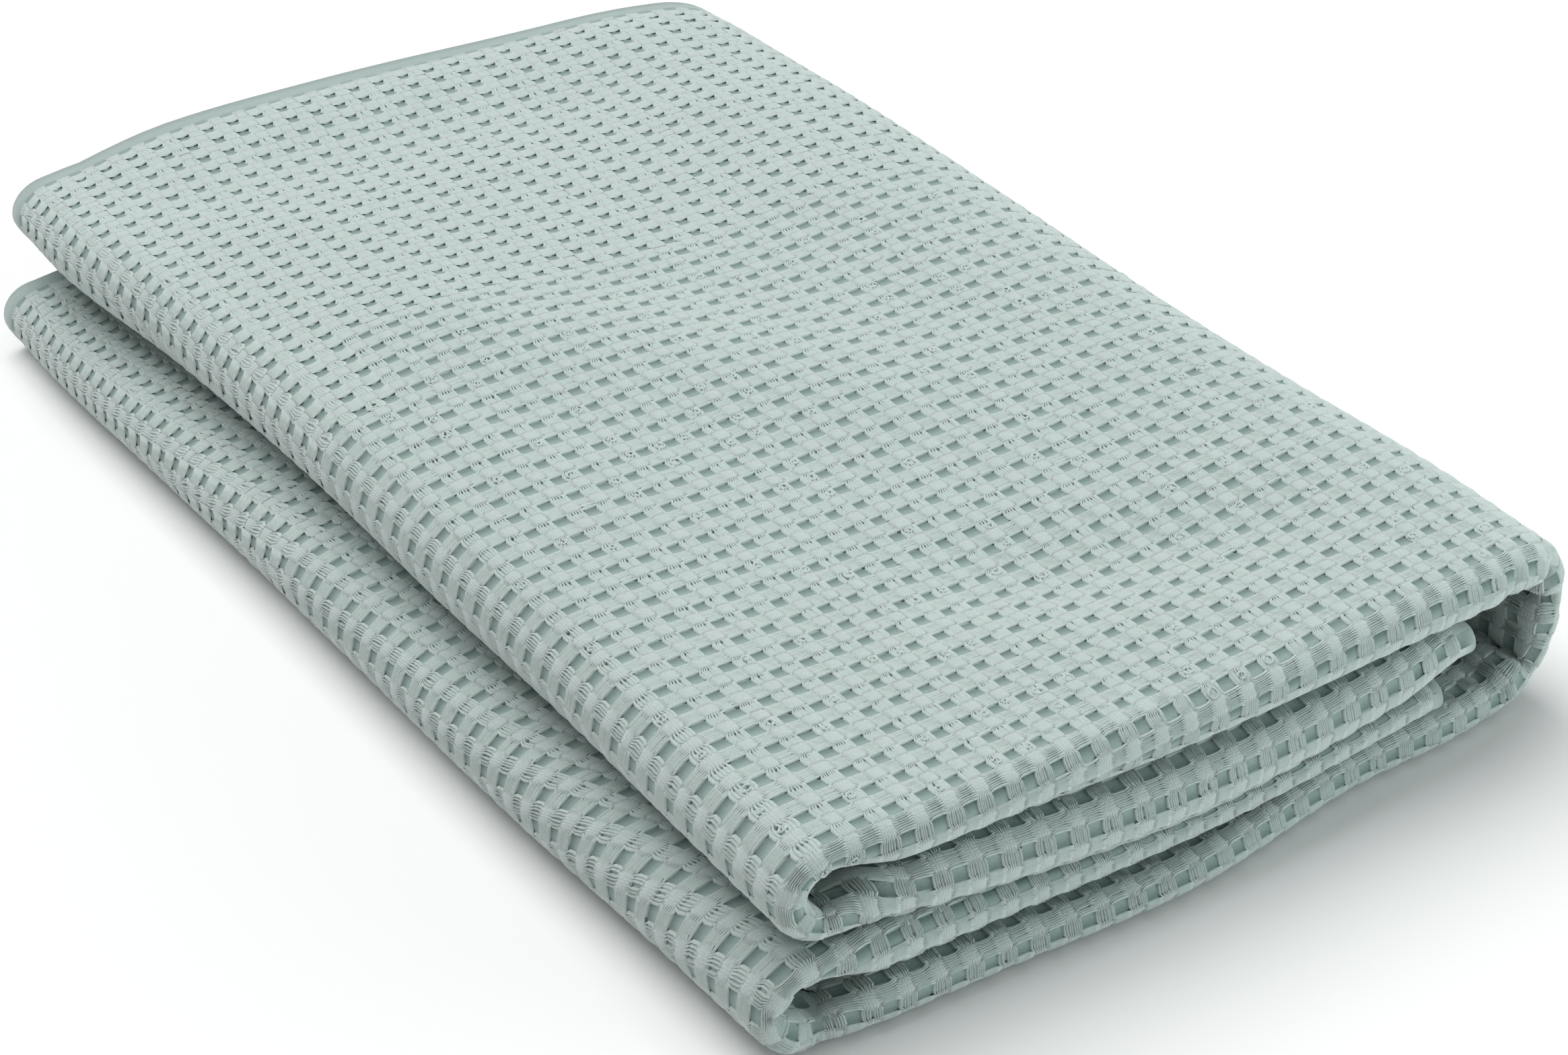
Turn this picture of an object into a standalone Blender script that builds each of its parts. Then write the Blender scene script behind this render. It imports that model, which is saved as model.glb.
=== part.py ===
"""A waffle weave cotton blanket, folded into a soft stack of eight layers.

The cloth is one sheet. It is folded in half so that the fold lies at the front end and the hemmed
ends lie together at the back. The doubled cloth is then folded across: both sides come in to the
middle, and the whole is folded in half once more. Seen from the front end, the doubled cloth runs
tongue - upper lip - top panel - wrap - bottom panel - lower lip - tongue.

Metres, +Z up. +Y runs from the front fold to the hemmed end, +X towards the wrap.
"""
import math

import bmesh
import bpy
import numpy as np

# Cloth
CLOTH = 0.0043              # thickness over the raised weave
HEM_CLOTH = 0.0026          # thickness of the plain hem
HEM_WIDTH = 0.0085
COLOUR = (0.60, 0.66, 0.64)
ROUGHNESS = 0.95

# Stack
STACK = 0.0635              # height of the folded stack
FRONT = -0.157              # where the front rolls begin to turn, before the unevenness below
BACK = 0.355                # the hemmed end
PANEL_GAP = 0.0010          # least clearance between two panels
LAYER_GAP = 0.0008          # least clearance between the two layers of a panel
ROLL_REACH = 0.055          # how far back the front rolls stay full
HEM_DROOP = 0.03            # share of its height that the stack loses at the hemmed end
DROOP_REACH = 0.030

# Side edges of the cloth inside the wrap, and how far back from them the panels thin out
UPPER_TONGUE = 0.099
LOWER_TONGUE = 0.088
TONGUE_TAPER = 0.028
TONGUE_SPACING = 0.0029     # from the middle of the doubled cloth to the middle of a layer
LIP_SPACING = 0.0029
WRAP_SPACING = 0.0034

# Lips: the rounding of the two folds on the left side
LIP_REACH = 0.050           # how far in the panels ease into a lip
LIP_REACH_FRONT = 0.022     # the same at the front rolls, where the panels close up sooner
LIP_DEPTH = 1.12            # depth of a lip's curve to its half height
WRAP_DEPTH = 0.024          # how far the wrap bulges past the straight panels
WRAP_SQUARE = 0.80          # under 1 squares the wrap's corners

# Outline and fold sizes by station along the length, front to back
PLAN = (
    ("y", "upper_lip", "lower_lip", "wrap", "upper_room", "lower_room"),
    (-0.160, -0.124, -0.132, 0.1430, 0.0300, 0.0320),
    (-0.110, -0.1255, -0.1365, 0.1435, 0.0305, 0.0315),
    (-0.040, -0.128, -0.1435, 0.1410, 0.0310, 0.0305),
    (0.030, -0.132, -0.1485, 0.1410, 0.0315, 0.0300),
    (0.120, -0.136, -0.1545, 0.1445, 0.0315, 0.0295),
    (0.220, -0.1445, -0.1625, 0.1480, 0.0310, 0.0285),
    (0.300, -0.155, -0.168, 0.1485, 0.0290, 0.0275),
    (0.360, -0.1555, -0.1695, 0.1480, 0.0265, 0.0255),
)

# Room that each doubled panel takes in the stack, across the width, at the front and inside
ACROSS = (-0.110, 0.000, 0.100)
ROOM = {
    "top": {"front": (0.0155, 0.0180, 0.0185), "inside": (0.0158, 0.0160, 0.0160)},
    "upper": {"front": (0.0155, 0.0230, 0.0160), "inside": (0.0158, 0.0160, 0.0160)},
    "lower": {"front": (0.0160, 0.0102, 0.0098), "inside": (0.0160, 0.0155, 0.0155)},
    "slack": {"front": (0.0000, 0.0000, 0.0050), "inside": (0.0000, 0.0000, 0.0000)},
    "bottom": {"front": (0.0165, 0.0123, 0.0142), "inside": (0.0159, 0.0160, 0.0160)},
}
ORDER = ("bottom", "slack", "lower", "upper", "top")

# How far each panel's front roll lies behind the line FRONT, across the width
RECESS_ACROSS = (-0.120, -0.060, 0.000, 0.060, 0.100, 0.140)
RECESS = {
    "top": (0.000, 0.000, 0.000, 0.002, 0.003, 0.006),
    "upper": (0.000, 0.000, 0.000, 0.002, 0.004, 0.006),
    "lower": (-0.001, 0.001, 0.001, 0.002, 0.004, 0.006),
    "bottom": (-0.002, 0.003, 0.000, 0.006, 0.009, 0.013),
}

# How far the hemmed end reaches past the line BACK, across the width, for each panel
HEM_ACROSS = (-0.150, -0.125, -0.100, -0.050, 0.000, 0.060, 0.100, 0.130)
HEM_REACH = {
    "top": (-0.002, 0.005, 0.007, 0.008, 0.007, 0.003, 0.001, -0.005),
    "upper": (-0.003, 0.001, 0.002, 0.003, 0.004, 0.001, -0.003, -0.006),
    "lower": (-0.014, -0.011, -0.010, -0.007, -0.003, -0.002, -0.003, -0.006),
    "bottom": (-0.014, -0.009, -0.006, -0.002, 0.000, 0.002, 0.000, -0.006),
}
INNER_HEM = 0.004           # how far the inner layer's hem stays behind the outer one's

# Gentle swells of the top, in parts of the stack's height, by station
SWELL_ACROSS = (-0.125, -0.090, -0.030, 0.040, 0.090, 0.130)
SWELL = (
    (-0.160, (-0.03, 0.01, 0.01, 0.01, 0.02, -0.01)),
    (-0.060, (-0.02, 0.01, 0.00, 0.00, 0.02, 0.00)),
    (0.060, (0.00, 0.05, 0.03, 0.00, 0.03, 0.01)),
    (0.180, (0.00, 0.05, 0.04, 0.01, 0.05, 0.01)),
    (0.300, (-0.01, 0.01, 0.00, 0.02, 0.05, 0.00)),
    (0.360, (-0.03, 0.04, 0.05, 0.04, 0.03, 0.00)),
)

# Mesh fineness: steps along each stretch of the path and along the length
STEPS = {"tongue": 8, "lip": 9, "panel": 11, "wrap": 12}
LENGTH_STEPS = 11
ROLL_STEPS = 6
LENGTH_BUNCHING = 1.5       # over 1 gathers the rows towards the front rolls


def smooth(t):
    t = min(max(t, 0.0), 1.0)
    return t * t * (3.0 - 2.0 * t)


def mix(a, b, t):
    return a + (b - a) * t


def curve(xs, ys, x):
    """A smooth curve through the points (xs, ys), level past its ends."""
    if x <= xs[0]:
        return ys[0]
    if x >= xs[-1]:
        return ys[-1]
    k = max(i for i in range(len(xs) - 1) if xs[i] <= x)

    def slope(i):
        lo, hi = max(i - 1, 0), min(i + 1, len(xs) - 1)
        return (ys[hi] - ys[lo]) / (xs[hi] - xs[lo])

    w = xs[k + 1] - xs[k]
    t = (x - xs[k]) / w
    return ((2 * t ** 3 - 3 * t ** 2 + 1) * ys[k] + (t ** 3 - 2 * t ** 2 + t) * w * slope(k)
            + (3 * t ** 2 - 2 * t ** 3) * ys[k + 1] + (t ** 3 - t ** 2) * w * slope(k + 1))


def plan(column, y):
    k = PLAN[0].index(column)
    return curve([row[0] for row in PLAN[1:]], [row[k] for row in PLAN[1:]], y)


def room(panel, x, y):
    """Height that a doubled panel takes at a place, full at the front roll and even inside."""
    inside = smooth((y - FRONT) / ROLL_REACH)
    return mix(curve(ACROSS, ROOM[panel]["front"], x), curve(ACROSS, ROOM[panel]["inside"], x), inside)


def level(panel, x, y):
    """Height of a panel's middle, and the spacing of its two layers from that middle."""
    rooms = [room(name, x, y) for name in ORDER]
    scale = STACK / sum(rooms)
    k = ORDER.index(panel)
    base = sum(rooms[:k]) * scale
    spacing = (rooms[k] * scale - CLOTH - PANEL_GAP) / 2
    spacing = max(spacing, (CLOTH + LAYER_GAP) / 2)
    if panel == "bottom":
        return spacing + CLOTH / 2, spacing
    return base + rooms[k] * scale / 2, spacing


def lip(side, y):
    """Centre, half depth and half height of the curve that the middle of a lip follows."""
    height = plan(side + "_room", y)
    up = (height - CLOTH) / 2 - LIP_SPACING
    deep = up * LIP_DEPTH
    x = plan(side + "_lip", y) + deep + LIP_SPACING + CLOTH / 2
    z = height / 2 if side == "lower" else STACK - height / 2
    return x, z, deep, up


def run(panel, x0, x1, steps, y, lip_x, lip_z, tongue=None):
    """A straight stretch of the path, as points: x, z, spacing, direction of the outer layer,
    and the two panels that the point lies between with its share of the second."""
    out = 1.0 if panel in ("top", "lower") else -1.0
    points = []
    for k in range(steps + 1):
        x = mix(x0, x1, k / steps)
        z, spacing = level(panel, x, y)
        reach = mix(LIP_REACH_FRONT, LIP_REACH, smooth((y - FRONT) / ROLL_REACH))
        near = smooth(1.0 - abs(x - lip_x) / reach)
        z = mix(z, lip_z, near)
        spacing = mix(spacing, LIP_SPACING, near)
        if tongue is not None:
            spacing = mix(TONGUE_SPACING, spacing, smooth((tongue - x) / TONGUE_TAPER))
        points.append((x, z, spacing, (0.0, out), (panel, panel, 0.0)))
    return points


def turn(centre, deep, up, steps, spacing, panels):
    """A lip's curve, without its ends."""
    points = []
    for k in range(1, steps):
        a = math.pi * k / steps
        x = centre[0] - deep * math.sin(a)
        z = centre[1] - up * math.cos(a)
        points.append((x, z, spacing, (-math.sin(a), -math.cos(a)), (*panels, k / steps)))
    return points


def wrap(x0, z_top, z_bottom, y, steps):
    """The wide turn on the right, from the top panel down to the bottom one."""
    middle, up = (z_top + z_bottom) / 2, (z_top - z_bottom) / 2
    _, top_spacing = level("top", x0, y)
    _, bottom_spacing = level("bottom", x0, y)
    points = []
    for k in range(1, steps):
        a = math.pi * k / steps
        c, s = math.cos(a), math.sin(a)
        x = x0 + WRAP_DEPTH * abs(s) ** WRAP_SQUARE
        z = middle + up * math.copysign(abs(c) ** WRAP_SQUARE, c)
        spacing = mix(mix(top_spacing, bottom_spacing, k / steps), WRAP_SPACING, s)
        points.append((x, z, spacing, (s, c), ("top", "bottom", k / steps)))
    return points


def section(y):
    """The path of the doubled cloth across the stack at one station."""
    ux, uz, udeep, uup = lip("upper", y)
    lx, lz, ldeep, lup = lip("lower", y)
    x0 = plan("wrap", y) - WRAP_DEPTH - WRAP_SPACING - CLOTH / 2
    top_z, _ = level("top", x0, y)
    bottom_z, _ = level("bottom", x0, y)
    path = run("upper", UPPER_TONGUE, ux, STEPS["tongue"], y, ux, uz - uup, UPPER_TONGUE)
    path += turn((ux, uz), udeep, uup, STEPS["lip"], LIP_SPACING, ("upper", "top"))
    path += run("top", ux, x0, STEPS["panel"], y, ux, uz + uup)
    path += wrap(x0, top_z, bottom_z, y, STEPS["wrap"])
    path += run("bottom", x0, lx, STEPS["panel"], y, lx, lz - lup)
    path += turn((lx, lz), ldeep, lup, STEPS["lip"], LIP_SPACING, ("bottom", "lower"))
    path += run("lower", lx, LOWER_TONGUE, STEPS["tongue"], y, lx, lz + lup, LOWER_TONGUE)
    return path


def swell(x, y, z):
    """Height after the gentle unevenness of the stack."""
    rows = [curve(SWELL_ACROSS, row[1], x) for row in SWELL]
    rise = curve([row[0] for row in SWELL], rows, y)
    droop = HEM_DROOP * smooth((y - (BACK - DROOP_REACH)) / DROOP_REACH)
    return z * (1.0 + (rise - droop) * z / STACK)


def along(x, y, between, inner=False):
    """Place along the length after the unevenness of the front rolls and the hemmed end."""
    first, second, share = between
    t = (y - FRONT) / (BACK - FRONT)
    front = mix(curve(RECESS_ACROSS, RECESS[first], x), curve(RECESS_ACROSS, RECESS[second], x), share)
    back = mix(curve(HEM_ACROSS, HEM_REACH[first], x), curve(HEM_ACROSS, HEM_REACH[second], x), share)
    if inner:
        back -= INNER_HEM
    return y + front * smooth(1.0 - t * 3.0) + back * smooth(t * 3.0 - 2.0)


def stations():
    """Rows from the back hem along the outer layer to the front."""
    hem_rows = [BACK, BACK - HEM_WIDTH, BACK - HEM_WIDTH - CLOTH / 2]
    first = hem_rows[-1]
    return hem_rows + [mix(FRONT, first, (1 - k / LENGTH_STEPS) ** LENGTH_BUNCHING)
                       for k in range(1, LENGTH_STEPS + 1)]


def thickness(y):
    return HEM_CLOTH if y > BACK - HEM_WIDTH - CLOTH / 4 else CLOTH


def face(offset_side):
    """One face of the cloth, as rows of points: +1 is the face on the outside of a doubled panel."""
    rows = []
    ys = stations()
    for y in ys:
        half = offset_side * thickness(y) / 2
        rows.append([(x + d[0] * (s + half), along(x, y, p), swell(x, y, z + d[1] * (s + half)))
                     for x, z, s, d, p in section(y)])
    front = section(FRONT)
    for k in range(1, ROLL_STEPS):
        a = math.pi * k / ROLL_STEPS
        row = []
        for x, z, s, d, p in front:
            r = s + offset_side * CLOTH / 2
            px, pz = x + d[0] * r * math.cos(a), z + d[1] * r * math.cos(a)
            row.append((px, along(x, FRONT, p) - r * math.sin(a), swell(x, FRONT, pz)))
        rows.append(row)
    for y in reversed(ys):
        half = offset_side * thickness(y) / 2
        rows.append([(x - d[0] * (s + half), along(x, y, p, True), swell(x, y, z - d[1] * (s + half)))
                     for x, z, s, d, p in section(y)])
    return rows


def build_blanket():
    outer, inner = face(1.0), face(-1.0)
    points = np.array([outer, inner])
    low, high = points.reshape(-1, 3).min(axis=0), points.reshape(-1, 3).max(axis=0)
    points -= ((low[0] + high[0]) / 2, (low[1] + high[1]) / 2, 0.0)
    mesh = bpy.data.meshes.new("blanket")
    bm = bmesh.new()
    sides, rows, columns, _ = points.shape
    grid = [[[bm.verts.new(points[side, r, c]) for c in range(columns)] for r in range(rows)]
            for side in range(sides)]
    for side in grid:
        for r in range(rows - 1):
            for c in range(columns - 1):
                bm.faces.new((side[r][c], side[r][c + 1], side[r + 1][c + 1], side[r + 1][c]))
    rim = [(0, c) for c in range(columns)] + [(r, columns - 1) for r in range(1, rows)]
    rim += [(rows - 1, c) for c in range(columns - 2, -1, -1)] + [(r, 0) for r in range(rows - 2, 0, -1)]
    for (r0, c0), (r1, c1) in zip(rim, rim[1:] + rim[:1]):
        bm.faces.new((grid[0][r0][c0], grid[0][r1][c1], grid[1][r1][c1], grid[1][r0][c0]))
    bmesh.ops.recalc_face_normals(bm, faces=bm.faces)
    bm.to_mesh(mesh)
    bm.free()
    mesh.shade_smooth()
    blanket = bpy.data.objects.new("blanket", mesh)
    bpy.context.scene.collection.objects.link(blanket)
    return blanket


def cotton():
    material = bpy.data.materials.new("sage_cotton")
    material.use_nodes = True
    shader = material.node_tree.nodes["Principled BSDF"]
    shader.inputs["Base Color"].default_value = (*COLOUR, 1.0)
    shader.inputs["Roughness"].default_value = ROUGHNESS
    shader.inputs["Metallic"].default_value = 0.0
    return material


def main():
    for obj in list(bpy.data.objects):
        bpy.data.objects.remove(obj, do_unlink=True)
    blanket = build_blanket()
    blanket.data.materials.append(cotton())


main()
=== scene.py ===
# Waffle weave cotton blanket folded in a stack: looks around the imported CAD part.
# Metres. +Y runs from the front rolls to the hemmed end, +X towards the wide wrap.
import math

import bmesh
import bpy
import numpy as np
from mathutils import Matrix, Vector


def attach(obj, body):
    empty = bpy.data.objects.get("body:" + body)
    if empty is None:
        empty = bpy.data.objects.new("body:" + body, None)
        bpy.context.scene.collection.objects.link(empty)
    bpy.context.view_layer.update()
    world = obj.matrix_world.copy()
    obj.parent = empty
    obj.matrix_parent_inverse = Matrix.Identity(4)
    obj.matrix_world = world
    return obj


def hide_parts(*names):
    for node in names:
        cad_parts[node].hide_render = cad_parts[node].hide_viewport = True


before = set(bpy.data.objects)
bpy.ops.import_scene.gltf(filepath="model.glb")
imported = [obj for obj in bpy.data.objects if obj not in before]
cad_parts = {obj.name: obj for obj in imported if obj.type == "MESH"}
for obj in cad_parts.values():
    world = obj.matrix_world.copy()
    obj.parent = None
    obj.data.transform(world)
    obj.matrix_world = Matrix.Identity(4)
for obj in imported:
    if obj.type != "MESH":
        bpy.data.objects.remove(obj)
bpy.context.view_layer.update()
print("frame loaded:", ", ".join(sorted(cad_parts)))

# the fold, as in the CAD source
stack = {
    "cloth": 0.0043,            # over the raised weave
    "height": 0.0635,
    "front": -0.157,            # where the front rolls begin
    "back": 0.355,              # the hemmed end
    "shift": (0.0102335, -0.0974751),    # from the fold's own zero to the frame's
    "panelGap": 0.0010,
    "layerGap": 0.0008,
    "rollReach": 0.055,
    "hemDroop": 0.03,
    "droopReach": 0.030,
    "upperTongue": 0.099,       # the cloth's side edges, inside the wrap
    "lowerTongue": 0.088,
    "tongueTaper": 0.028,
    "tongueSpacing": 0.0029,
    "lipSpacing": 0.0029,
    "wrapSpacing": 0.0034,
    "lipReach": 0.050,
    "lipReachFront": 0.022,
    "lipDepth": 1.12,
    "wrapDepth": 0.024,
    "wrapSquare": 0.80,
    "innerHem": 0.004,
}
plan = {
    "y": (-0.160, -0.110, -0.040, 0.030, 0.120, 0.220, 0.300, 0.360),
    "upperLip": (-0.124, -0.1255, -0.128, -0.132, -0.136, -0.1445, -0.155, -0.1555),
    "lowerLip": (-0.132, -0.1365, -0.1435, -0.1485, -0.1545, -0.1625, -0.168, -0.1695),
    "wrap": (0.1408, 0.1423, 0.1408, 0.1410, 0.1445, 0.1480, 0.1485, 0.1480),
    "upperRoom": (0.0300, 0.0305, 0.0310, 0.0315, 0.0315, 0.0310, 0.0290, 0.0265),
    "lowerRoom": (0.0320, 0.0315, 0.0305, 0.0300, 0.0295, 0.0285, 0.0275, 0.0255),
}
panelNames = ("bottom", "lower", "upper", "top")
roomAcross = (-0.110, 0.000, 0.100)
roomOrder = ("bottom", "slack", "lower", "upper", "top")
roomFront = {
    "top": (0.0155, 0.0180, 0.0185),
    "upper": (0.0155, 0.0230, 0.0160),
    "lower": (0.0160, 0.0102, 0.0098),
    "slack": (0.0000, 0.0000, 0.0050),
    "bottom": (0.0165, 0.0123, 0.0142),
}
roomInside = {
    "top": (0.0158, 0.0160, 0.0160),
    "upper": (0.0158, 0.0160, 0.0160),
    "lower": (0.0160, 0.0155, 0.0155),
    "slack": (0.0000, 0.0000, 0.0000),
    "bottom": (0.0159, 0.0160, 0.0160),
}
recessAcross = (-0.120, -0.060, 0.000, 0.060, 0.100, 0.140)
recess = {
    "top": (0.000, 0.000, 0.000, 0.002, 0.003, 0.008),
    "upper": (0.000, 0.000, 0.000, 0.002, 0.004, 0.006),
    "lower": (-0.001, 0.001, 0.001, 0.002, 0.004, 0.006),
    "bottom": (0.001, -0.001, -0.003, 0.007, 0.009, 0.016),
}
hemAcross = (-0.150, -0.125, -0.100, -0.050, 0.000, 0.060, 0.100, 0.130)
hemReach = {
    "top": (-0.002, 0.005, 0.007, 0.008, 0.007, 0.003, 0.001, -0.005),
    "upper": (-0.003, 0.001, 0.002, 0.003, 0.004, 0.001, -0.003, -0.006),
    "lower": (-0.014, -0.011, -0.010, -0.007, -0.003, -0.002, -0.003, -0.006),
    "bottom": (-0.014, -0.009, -0.006, -0.002, 0.000, 0.002, 0.000, -0.006),
}
swellAcross = (-0.125, -0.090, -0.030, 0.040, 0.090, 0.130)
swellAlong = (-0.160, -0.060, 0.060, 0.180, 0.300, 0.360)
swellRise = (
    (-0.03, 0.01, 0.01, 0.01, 0.02, -0.01),
    (-0.02, 0.01, 0.00, 0.00, 0.02, 0.00),
    (0.00, 0.05, 0.03, 0.00, 0.03, 0.01),
    (0.00, 0.05, 0.04, 0.01, 0.05, 0.01),
    (-0.03, 0.01, 0.00, 0.02, 0.05, 0.00),
    (-0.08, 0.02, 0.04, 0.03, 0.02, 0.00),
)
fineSteps = {"tongue": 40, "lip": 44, "panel": 110, "wrap": 60, "roll": 18, "length": 190}


def smoothStep(t):
    t = np.clip(t, 0.0, 1.0)
    return t * t * (3.0 - 2.0 * t)


def mix(a, b, t):
    return a + (b - a) * t


def pick(values, k):
    return np.take_along_axis(values, k[None], 0)[0]


def curveThrough(xs, ys, x):
    # a smooth curve through the points, level past its ends
    xs, x = np.array(xs, float), np.asarray(x, float)
    ys = np.stack([np.broadcast_to(np.asarray(v, float), x.shape) for v in ys])
    last = len(xs) - 1
    k = np.clip(np.searchsorted(xs, x, side="right") - 1, 0, last - 1)
    before, after = np.maximum(k - 1, 0), np.minimum(k + 2, last)
    slopeA = (pick(ys, k + 1) - pick(ys, before)) / (xs[k + 1] - xs[before])
    slopeB = (pick(ys, after) - pick(ys, k)) / (xs[after] - xs[k])
    w = xs[k + 1] - xs[k]
    t = np.clip((x - xs[k]) / w, 0.0, 1.0)
    return ((2 * t ** 3 - 3 * t ** 2 + 1) * pick(ys, k) + (t ** 3 - 2 * t ** 2 + t) * w * slopeA
            + (3 * t ** 2 - 2 * t ** 3) * pick(ys, k + 1) + (t ** 3 - t ** 2) * w * slopeB)


def planAt(column, y):
    return curveThrough(plan["y"], plan[column], y)


def panelLevel(panel, x, y):
    # height of a doubled panel's middle, and how far its two layers lie from it
    x, y = np.broadcast_arrays(x, y)
    inside = smoothStep((y - stack["front"]) / stack["rollReach"])
    rooms = []
    for name in roomOrder:
        atFront = curveThrough(roomAcross, roomFront[name], x)
        within = curveThrough(roomAcross, roomInside[name], x)
        rooms.append(mix(atFront, within, inside))
    scale = stack["height"] / sum(rooms)
    k = roomOrder.index(panel)
    spacing = (rooms[k] * scale - stack["cloth"] - stack["panelGap"]) / 2
    spacing = np.maximum(spacing, (stack["cloth"] + stack["layerGap"]) / 2)
    if panel == "bottom":
        return spacing + stack["cloth"] / 2, spacing
    return sum(rooms[:k]) * scale + rooms[k] * scale / 2, spacing


def lipCurve(side, y):
    height = planAt(side + "Room", y)
    up = (height - stack["cloth"]) / 2 - stack["lipSpacing"]
    deep = up * stack["lipDepth"]
    x = planAt(side + "Lip", y) + deep + stack["lipSpacing"] + stack["cloth"] / 2
    z = height / 2 if side == "lower" else stack["height"] - height / 2
    return x, z, deep, up


def stretch(x, z, spacing, dx, dz, first, second, share):
    # one stretch of the fold's path: place, half spacing, outward direction, the panels it lies between
    parts = np.broadcast_arrays(x, z, spacing, dx, dz, float(first), float(second), share)
    return np.stack(parts)


def straightRun(panel, x0, x1, steps, y, lipX, lipZ, tongue=None):
    x = mix(x0, x1, np.linspace(0, 1, steps + 1)[None, :])
    z, spacing = panelLevel(panel, x, y)
    inside = smoothStep((y - stack["front"]) / stack["rollReach"])
    reach = mix(stack["lipReachFront"], stack["lipReach"], inside)
    near = smoothStep(1.0 - np.abs(x - lipX) / reach)
    z, spacing = mix(z, lipZ, near), mix(spacing, stack["lipSpacing"], near)
    if tongue is not None:
        spacing = mix(stack["tongueSpacing"], spacing, smoothStep((tongue - x) / stack["tongueTaper"]))
    out = 1.0 if panel in ("top", "lower") else -1.0
    number = panelNames.index(panel)
    return stretch(x, z, spacing, 0.0, out, number, number, 0.0)


def lipTurn(x, z, deep, up, steps, panels):
    share = (np.arange(1, steps) / steps)[None, :]
    a = math.pi * share
    return stretch(x - deep * np.sin(a), z - up * np.cos(a), stack["lipSpacing"],
                   -np.sin(a), -np.cos(a), *panels, share)


def wrapTurn(x0, zTop, zBottom, y, steps):
    share = (np.arange(1, steps) / steps)[None, :]
    c, s = np.cos(math.pi * share), np.sin(math.pi * share)
    topSpacing, bottomSpacing = panelLevel("top", x0, y)[1], panelLevel("bottom", x0, y)[1]
    x = x0 + stack["wrapDepth"] * s ** stack["wrapSquare"]
    z = (zTop + zBottom) / 2 + (zTop - zBottom) / 2 * np.copysign(np.abs(c) ** stack["wrapSquare"], c)
    spacing = mix(mix(topSpacing, bottomSpacing, share), stack["wrapSpacing"], s)
    return stretch(x, z, spacing, s, c, 3, 0, share)


def foldPath(y):
    # the doubled cloth across the stack at each station, from one tongue to the other
    ux, uz, uDeep, uUp = lipCurve("upper", y)
    lx, lz, lDeep, lUp = lipCurve("lower", y)
    x0 = planAt("wrap", y) - stack["wrapDepth"] - stack["wrapSpacing"] - stack["cloth"] / 2
    zTop, zBottom = panelLevel("top", x0, y)[0], panelLevel("bottom", x0, y)[0]
    n = fineSteps
    parts = [
        straightRun("upper", stack["upperTongue"], ux, n["tongue"], y, ux, uz - uUp, stack["upperTongue"]),
        lipTurn(ux, uz, uDeep, uUp, n["lip"], (2, 3)),
        straightRun("top", ux, x0, n["panel"], y, ux, uz + uUp),
        wrapTurn(x0, zTop, zBottom, y, n["wrap"]),
        straightRun("bottom", x0, lx, n["panel"], y, lx, lz - lUp),
        lipTurn(lx, lz, lDeep, lUp, n["lip"], (0, 1)),
        straightRun("lower", lx, stack["lowerTongue"], n["tongue"], y, lx, lz + lUp, stack["lowerTongue"]),
    ]
    return np.concatenate(parts, axis=2)


def byPanel(across, table, path):
    x, first, second, share = path[0], path[5].astype(int), path[6].astype(int), path[7]
    values = np.stack([curveThrough(across, table[name], x) for name in panelNames])
    return mix(pick(values, first), pick(values, second), share)


def alongPlace(path, y, inner=0.0):
    # the place along with the rolls' and the hems' own reaches, each over its end third of the length
    t = (y - stack["front"]) / (stack["back"] - stack["front"])
    front, back = byPanel(recessAcross, recess, path), byPanel(hemAcross, hemReach, path) - inner
    return y + front * smoothStep(1.0 - t * 3.0) + back * smoothStep(t * 3.0 - 2.0)


def swellPlace(x, y, z):
    x, y = np.broadcast_arrays(x, y)
    rise = curveThrough(swellAlong, [curveThrough(swellAcross, row, x) for row in swellRise], y)
    droop = stack["hemDroop"] * smoothStep((y - (stack["back"] - stack["droopReach"])) / stack["droopReach"])
    return z * (1.0 + (rise - droop) * z / stack["height"])


weave = {
    "pitch": 0.010,             # one waffle square
    "uOffset": -0.48,           # squares, slides the lattice across
    "vOffset": 0.22,            # squares, slides the lattice along
    "skin": 0.0015,             # height over the cloth's middle at which a square is 10 mm wide
    "skew": 0.15,               # length over which the turned layers come into line with the rolls
    "rollArc": 0.030,           # a tongue's roll, measured around
    "tongueBlend": 5,           # columns over which that starts
    "tableStep": 0.1,           # squares between the points of the lookup table
}
# how far the weave has slid, in squares, by square across and by station along
driftAcross = (-14, -8, 0, 8, 12)
driftStations = (-0.160, -0.080, 0.020, 0.120, 0.240, 0.340)
driftSideways = (
    (1.5, 1.2, 0.2, 0.0, -0.4),
    (1.2, 0.8, -0.1, 0.3, 0.3),
    (0.6, 0.4, 0.0, 0.15, 0.1),
    (0.3, 0.3, -0.35, 0.1, 0.3),
    (0.1, 0.2, 0.0, 0.5, 0.6),
    (0.0, 0.25, 0.3, 0.8, 1.0),
)
driftLengthways = (
    (0.5, 0.4, 0.9, 1.3, 1.3),
    (0.3, -0.1, 0.0, 0.5, 0.7),
    (-0.1, -0.1, 0.05, 0.1, 0.1),
    (0.5, 0.6, 0.25, 0.4, 0.4),
    (0.2, 0.25, 0.3, 0.5, 0.4),
    (0.6, 0.65, 0.75, 0.65, 0.6),
)


def drift(table, u, y):
    u, y = np.broadcast_arrays(u, y)
    return curveThrough(driftStations, [curveThrough(driftAcross, row, u) for row in table], y)


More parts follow.
